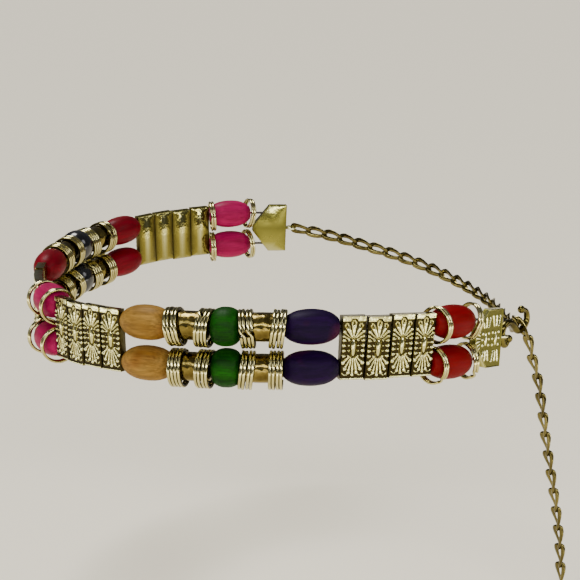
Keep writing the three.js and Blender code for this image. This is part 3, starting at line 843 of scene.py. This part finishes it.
def plate_motif(x, z, half_tall):
    """Height in mm of one of a plate's two motifs: a boss between pearls, with strokes round it."""
    side, field = np.abs(x), (MOTIF_HALF_WIDTH, half_tall)
    heights = []
    for start, end, wide in in_mm(STROKES, field):
        narrow = MOTIF["narrow"] * wide
        heights.append(ray_height(side, z, start, end, narrow, wide, MOTIF["height"]))
    for place, radius in PEARLS:
        heights.append(pearl_height(side, z, np.multiply(place, field), radius, MOTIF["height"]))
    boss = 1 - (x / MOTIF["boss_half_width"]) ** 2 - (z / (MOTIF["boss_up"] * half_tall)) ** 2
    heights.append(np.sqrt(np.clip(boss, 0, None)))
    return np.max(heights, axis=0)


def border(distance, width, height):
    """Height of a flat border beside an edge that lies at distance 0, rounded off at the edge."""
    flat = height * np.clip((width - distance) / BORDER_FALL, 0, 1)
    return flat - BORDER_DROP * np.clip(1 - distance / BORDER_ROUNDING, 0, 1) ** 2


def rounded(height, distance):
    """Relief with its edge, which lies at distance 0, rounded off."""
    return height - EDGE_ROUNDING * np.clip(1 - distance / EDGE_ROUNDING, 0, 1) ** 2


# Painted shade, which grows as the relief gets lower
def height_painted_shade(height):
    return np.clip(1 - height / UNSHADED_HEIGHT, 0, 1)


def strip(xs, half_heights, rows):
    """Arrays of x and z over a strip with a half height at each x."""
    return np.repeat(xs[:, None], rows, axis=1), half_heights[:, None] * np.linspace(-1, 1, rows)


def cast_body(shape, x, z, height, cavity, flare=0):
    """A casting whose front is a relief over a strip, as arrays (x, z).

    With flare its ends slope, and its back is wider by that much at each.
    """
    n, m = height.shape
    bevel = CAST["back_bevel"]
    front = np.stack([x, CAST["front"] + height, z], axis=2)
    back_y = CAST["front"] - CAST["thickness"]
    back = np.stack([x * (1 + flare / np.abs(x).max()), np.full_like(x, back_y), z], axis=2)
    shape.grid(front, wrap_around=False, cavity=cavity)
    edge = [(i, 0) for i in range(n)] + [(n - 1, j) for j in range(1, m)]
    edge += [(i, m - 1) for i in range(n - 2, -1, -1)] + [(0, j) for j in range(m - 2, 0, -1)]
    top = np.array([front[p] for p in edge])
    low = np.array([back[p] for p in edge])
    inset = low.copy()
    low[:, 1] += bevel
    middle = low.mean(axis=0)
    for axis in (0, 2):
        inset[:, axis] += np.clip(middle[axis] - inset[:, axis], -bevel, bevel)
    walls = np.array([top, low, inset])[:, ::-1]
    at_ends = np.isin(top[:, 0], (x[0, 0], x[-1, 0]))[::-1]
    # Painted shade on the walls and the sloping ends
    shape.grid(walls, cavity=np.where(at_ends, END_PAINTED_SHADE, WALL_PAINTED_SHADE))
    last = shape.count() - len(edge)
    shape.faces.append(tuple(last + i for i in range(len(edge))))


def bar_mesh():
    half_wide = BAR["width"] / 2 - BAR_INSET
    half_tall = ROW_PITCH / 2 + BAR["overhang"]
    columns, rows = BAR_GRID
    x, z = strip(np.linspace(-half_wide, half_wide, columns), np.full(columns, half_tall), rows)
    from_side = half_wide - np.abs(x)
    side = border(from_side, SIDE_BORDER["width"], SIDE_BORDER["height"]) - SIDE_BORDER["sunk"]
    bottom = border(half_tall + z, **BOTTOM_BORDER)
    relief = sunburst(x, z, half_wide, half_tall) - FIELD_DROP
    height = rounded(np.maximum(np.maximum(relief, side), bottom), from_side)
    shape = Shape()
    cast_body(shape, x, z, height, height_painted_shade(height), BAR_FLARE)
    return shape.mesh("bar")


def plate_mesh(name):
    """A plate with two motifs, spokes beyond them and a plain strip at its straight end."""
    length, shoulder = PLATE["length"], PLATE["shoulder"]
    columns, rows = PLATE_GRID
    xs = np.linspace(0, length, columns)
    share = np.clip((xs - shoulder) / (length - shoulder), 0, 1)
    halves = PLATE_HALF + share * (PLATE["tip"] - PLATE_HALF)
    x, z = strip(xs, halves, rows)
    motifs = [plate_motif(x - middle, z, half)
              for middle, half in zip(MOTIF_MIDDLES, MOTIF_HALF_HEIGHTS)]
    relief = np.maximum(*motifs) - FIELD_DROP
    last = MOTIF_MIDDLES[-1]
    spokes = np.abs(np.sin(SPOKES["count"] * np.arctan2(z, x - last + SPOKES["offset"])))
    beyond = np.clip((x - last - MOTIF_HALF_WIDTH) / SPOKES["fade"], 0, 1)
    relief = np.maximum(relief, SPOKES["height"] * beyond * spokes)
    from_sides = halves[:, None] - np.abs(z)
    edge = np.minimum(from_sides, np.minimum(x, length - x))
    height = np.maximum(relief, border(edge, **PLATE_BORDER))
    end_strip = border(np.minimum(x, from_sides), HOOK_END["border"], HOOK_END["height"])
    height = rounded(np.where(x < HOOK_END["width"], end_strip, height), edge)
    # Painted shade at the plate's hook end, darkest at the end
    shaded_end = np.clip(HOOK_END["shade_reach"] - x, 0, HOOK_END["shade"])
    shape = Shape()
    cast_body(shape, x, z, height, np.maximum(height_painted_shade(height), shaded_end))
    ring = [(-LOOP_CENTRE + LOOP_RADIUS * cos(a), LOOP_RADIUS * sin(a), 0)
            for a in FULL_TURN * np.arange(STEPS["loop"] + 1) / STEPS["loop"]]
    tube(shape, ring, LOOP["wire"] / 2, STEPS["loop_wire"])
    return shape.mesh(name)


# Rings and drums

def jitter(degrees):
    return radians(rng.uniform(-degrees, degrees))


def drum_mesh(node):
    """A drum bead with its four split rings, each hanging and tilted in its own way."""
    row, _, number = node.split("_")
    tilts = STACK_TILT[row, int(number) % 2]
    shape = Shape()
    lathe(shape, bead_profile(DRUM, DRUM_TABLE))
    drum_faces = len(shape.faces)
    near = DRUM_PITCH / 2 - RING["width"] / 2
    following = near - RING["width"] - RING_PAIR_GAP
    sag = RING["dia"] / 2 - RING["wall"] - DRUM["dia"] / 2 - SAG_CLEARANCE
    for x in (-near, -following, following, near):
        tilt = radians(tilts[0] if x < 0 else tilts[1])
        lean = copysign(1, x) * tilt + jitter(STACK_JITTER["lean"])
        swing = jitter(STACK_JITTER["swing"])
        shift = copysign(sin(abs(tilt)) * STACK_SHIFT * RING["dia"], x)
        turn = turn_z(swing) @ turn_y(lean)
        split_ring(shape, turn, np.array([x + shift, 0, -sag]), rng.uniform(0, FULL_TURN))
    mesh = shape.mesh(node)
    mesh.materials.append(BARREL_GOLD)
    mesh.materials.append(RING_GOLD)
    slots = np.zeros(len(mesh.polygons), dtype=np.int32)
    slots[drum_faces:] = 1
    mesh.polygons.foreach_set("material_index", slots)
    return mesh


def ring_mesh(name):
    shape = Shape()
    # Single rings take lighter painted shade on their flanks
    split_ring(shape, np.eye(3), np.zeros(3), rng.uniform(0, FULL_TURN), shade=0.3)
    return shape.mesh(name)


# The strung part

WOODEN = {
    "oval": (SEEN_OVAL, OVAL_TABLE, OVAL_PITCH),
    "round": (SEEN_ROUND, ROUND_TABLE, ROUND_PITCH),
}
string_points = {"upper": [], "lower": []}
counts = {}
plates = {}


def next_number(kind):
    counts[kind] = counts.get(kind, 0) + 1
    return counts[kind]


def bead_placing(start, end, side):
    up = frame_at((start + end) / 2)[3]
    return place_between(row_point(start, side), row_point(end, side), up)


def add_bead(kind, start, end, mesh_for, material):
    """A bead in each row between two stations; all but drums are turned at random."""
    number = next_number(kind)
    for row, side in SIDES.items():
        placing = bead_placing(start, end, side)
        spin = np.eye(4)
        if kind != "drum":
            spin[:3, :3] = turn_x(rng.uniform(0, FULL_TURN))
        node = f"{row}_{kind}_{number}"
        add(f"{node}_bead", mesh_for(node), placing @ spin, material, node)
        string_points[row] += [row_point(start, side), row_point(end, side)]


def add_wooden(kind, start, color):
    size, table, pitch = WOODEN[kind]
    shape = Shape()
    lathe(shape, bead_profile(size, table))
    mesh = shape.mesh(f"{kind}_{color}")
    add_bead(kind, start, start + pitch, lambda _: mesh, WOODS[color])
    return start + pitch


def add_drum(start):
    add_bead("drum", start, start + DRUM_PITCH, drum_mesh, GOLD)
    return start + DRUM_PITCH


def add_single_ring(station, towards):
    number = next_number("ring")
    turn, upper_lean, lower_lean, sag, aside = RING_HANG[number - 1]
    middle = station + towards * aside
    for row, side in SIDES.items():
        placing = bead_placing(middle - PROBE["ring"], middle + PROBE["ring"], side)
        lean = upper_lean if side > 0 else lower_lean
        hang = np.eye(4)
        hang[:3, :3] = turn_y(-towards * radians(lean)) @ turn_z(-towards * radians(turn))
        hang[2, 3] = -sag
        node = f"{row}_ring_{number}"
        add(f"{node}_wire", ring_mesh(node), placing @ hang, RING_GOLD, node)


def add_short(start, beads):
    add_single_ring(start, 1)
    end = add_wooden("oval", start + GROUP_GAP, beads[0]) + GROUP_GAP
    add_single_ring(end, -1)


def add_long(start, beads):
    station = add_wooden("oval", start + GROUP_GAP, beads[0])
    station = add_drum(station)
    station = add_wooden("round", station, beads[1])
    station = add_drum(station)
    add_wooden("oval", station, beads[2])


def add_bars(start, mesh):
    for i in range(BAR["count"]):
        a = start + i * BAR_PITCH
        b = a + BAR_PITCH
        placing = place_between(loop_point(a), loop_point(b), frame_at((a + b) / 2)[3])
        placing[:3, 3] += placing[:3, 2] * BAR_STEPS[i]
        node = f"bar_{next_number('bar')}"
        add(f"{node}_cast", mesh, placing, GOLD, node)
        for row, side in SIDES.items():
            string_points[row] += [row_point(a, side), row_point(b, side)]


def add_plate(node, outer_end, towards):
    start, _, outward, _ = frame_at(outer_end)
    start = start + outward * PLATE["lift"]
    end = loop_point(outer_end + towards * PLATE["length"])
    up = frame_at(outer_end + towards * PLATE["length"] / 2)[3]
    placing = place_between(start, end, up * towards)
    placing[:3, 3] = start
    add(f"{node}_cast", plate_mesh(node), placing, PLATE_GOLD, node)
    for row, side in SIDES.items():
        bottom = (PLATE_BORE_END + CLEAR, 0, towards * side * ROW_PITCH / 2)
        string_points[row].append(moved(placing, bottom))
    plates[node] = placing


def add_groups(station):
    """Adds all of ORDER from a station on, and returns the station where it ends."""
    the_bar = bar_mesh()
    for kind, content in ORDER:
        end = station + LENGTHS[kind]
        if kind == "plate":
            first = not plates
            add_plate(content, station if first else end, 1 if first else -1)
        if kind == "short":
            add_short(station, content)
        if kind == "long":
            add_long(station, content)
        if kind == "bars":
            add_bars(station, the_bar)
        station = end
    return station


def add_strings():
    """A string for each row, through its points, without those that repeat the one before."""
    for row, points in string_points.items():
        kept = [points[0]]
        for point in points[1:]:
            if np.linalg.norm(point - kept[-1]) > SHORTEST_STEP:
                kept.append(point)
        shape = Shape()
        tube(shape, kept, STRING_DIA / 2, STEPS["string"])
        add(f"{row}_cord", shape.mesh(f"{row}_cord"), np.eye(4), STRING, f"{row}_string")


before_front = sum(LENGTHS[kind] for kind, _ in ORDER[:FRONT_LONG])
belt_start = -(before_front + LENGTHS["long"] / 2)
belt_end = add_groups(belt_start)
add_strings()


# Hook

hook_line = catmull([(-(HOOK_SEAT + a * HOOK["length"]), 0, u * HOOK["height"])
                     for a, u in HOOK_LINE], STEPS["hook"])


def make_hook():
    shape = Shape()
    share = np.linspace(0, 1, len(hook_line))
    growth = HOOK_TAPER["growth"] * np.sin(pi * share) ** 0.5
    radii = HOOK["wire"] / 2 * (HOOK_TAPER["tip"] + growth)
    tube(shape, hook_line, radii, STEPS["hook_wire"], (0, 1, 0))
    ball(shape, hook_line[0], HOOK["ball_dia"] / 2)
    ball(shape, hook_line[-1], HOOK["ball_dia"] / 2)
    add("hook_cast", shape.mesh("hook"), plates["hook_plate"], HOOK_GOLD, "hook")


make_hook()


# Chain

def link(shape, placing, pitch, twist_from, twist_to):
    """A link along x, its wire run round an oval and twisted from one angle to another."""
    wire = CHAIN["wire"] / 2
    half_long = pitch / 2 + wire - LINK["weld"] / 2
    half_wide = (CHAIN["width"] - CHAIN["wire"]) / 2
    power = LINK["power"]
    rows = []
    for a in round_angles(STEPS["link"]):
        c, s = cos(a), sin(a)
        scale = (abs(c) ** power + abs(s) ** power) ** (-1 / power)
        middle = np.array([half_long * c * scale, half_wide * s * scale])
        out = unit(np.array([c / half_long, s / half_wide]))
        share = np.clip(middle[0] / half_long, -1, 1) / 2 + 0.5
        twist = turn_x(radians(twist_from + (twist_to - twist_from) * share))
        thick = wire * (LINK["thin"] + LINK["end_growth"] * c * c)
        middle = middle - out * (LINK["flat"] * thick - wire)
        row = []
        for b in round_angles(STEPS["link_wire"]):
            flat = middle + out * LINK["flat"] * thick * cos(b)
            local = twist @ np.array([flat[0], flat[1], LINK["depth"] * thick * sin(b)])
            row.append(moved(placing, local))
        rows.append(row)
    shape.grid(np.array(rows), wrap_rows=True)


def even_joints(line, count):
    """Points at equal straight distances along a line, from its start to its end."""
    lengths = lengths_along(line)
    places = np.linspace(0, lengths[-1], count + 1)
    for _ in range(STEPS["even_rounds"]):
        points = point_at(line, lengths, places)
        sums = lengths_along(points)
        places = np.interp(np.linspace(0, sums[-1], count + 1), sums, places)
    return points


def stepped_joints(line, pitch, count):
    """The first points of a line that lie a pitch apart."""
    joints = [line[0]]
    for point in line:
        if len(joints) <= count and np.linalg.norm(point - joints[-1]) >= pitch:
            joints.append(point)
    return joints


def hook_catch():
    """The top of the link that the hook holds, the way down it and the way along the hook."""
    plate = plates["hook_plate"]
    lengths = lengths_along(hook_line)
    at = CATCH["share"] * lengths[-1]
    spot = moved(plate, point_at(hook_line, lengths, at))
    before, after = point_at(hook_line, lengths, [at - PROBE["hook"], at + PROBE["hook"]])
    way = unit(after - before)
    hook_way = -(plate[:3, :3] @ way)
    hook_out = plate[:3, 1]
    lean = radians(CATCH["lean"])
    down = hook_out * sin(lean) + np.cross(hook_out, hook_way) * cos(lean)
    return spot - down * CHAIN["pitch"] / 2, down, hook_way


def back_route(caught_top):
    """A smooth line from the chain's plate round the back to the hook, drawn in behind."""
    reach = LOOP["bore"] / 2 - 2 * CLEAR
    start = belt_end + LOOP_CENTRE + reach + CHAIN["pitch"]
    end = WAIST_LENGTH + belt_start - HOOK_SEAT - HOOK["length"] - CHAIN["pitch"]
    route = [moved(plates["chain_plate"], (-LOOP_CENTRE - reach, 0, 0))]
    steps = STEPS["route"]
    for i in range(steps + 1):
        point, _, outward, _ = frame_at(start + (end - start) * i / steps)
        from_end = min(i, steps - i) / steps * (end - start)
        t = np.clip((from_end + CHAIN["pitch"]) / (CHAIN_EASE + CHAIN["pitch"]), 0, 1)
        route.append(point - outward * CHAIN_INSET * t * t * (3 - 2 * t))
    return catmull(route + [caught_top], STEPS["route_line"])


def make_chain():
    caught_top, caught_down, hook_way = hook_catch()
    twist = CHAIN["twist"]
    line = back_route(caught_top)
    joints = even_joints(line, round(lengths_along(line)[-1] / CHAIN["pitch"]))
    pitch = np.linalg.norm(joints[1] - joints[0])
    shape = Shape()
    for i, (a, b) in enumerate(zip(joints, joints[1:])):
        along = b - a
        outward = np.array([-along[1], along[0], 0])
        link(shape, place_between(a, b, outward), pitch, -twist if i else 0, twist)
    bottom = caught_top + caught_down * pitch
    free_points = [bottom] + [bottom + np.array([r, 0, -d]) for r, d in FREE_END]
    free_line = catmull(free_points, STEPS["free_line"])
    hanging = [caught_top] + stepped_joints(free_line, pitch, FREE_LINKS)
    across = np.cross(caught_down, hook_way)
    turned_way = hook_way * cos(FREE_TURN) + across * sin(FREE_TURN)
    for i, (a, b) in enumerate(zip(hanging, hanging[1:])):
        link(shape, place_between(a, b, turned_way if i else hook_way), pitch, -twist, twist)
    add("chain_links", shape.mesh("chain"), np.eye(4), CHAIN_GOLD, "chain")


make_chain()
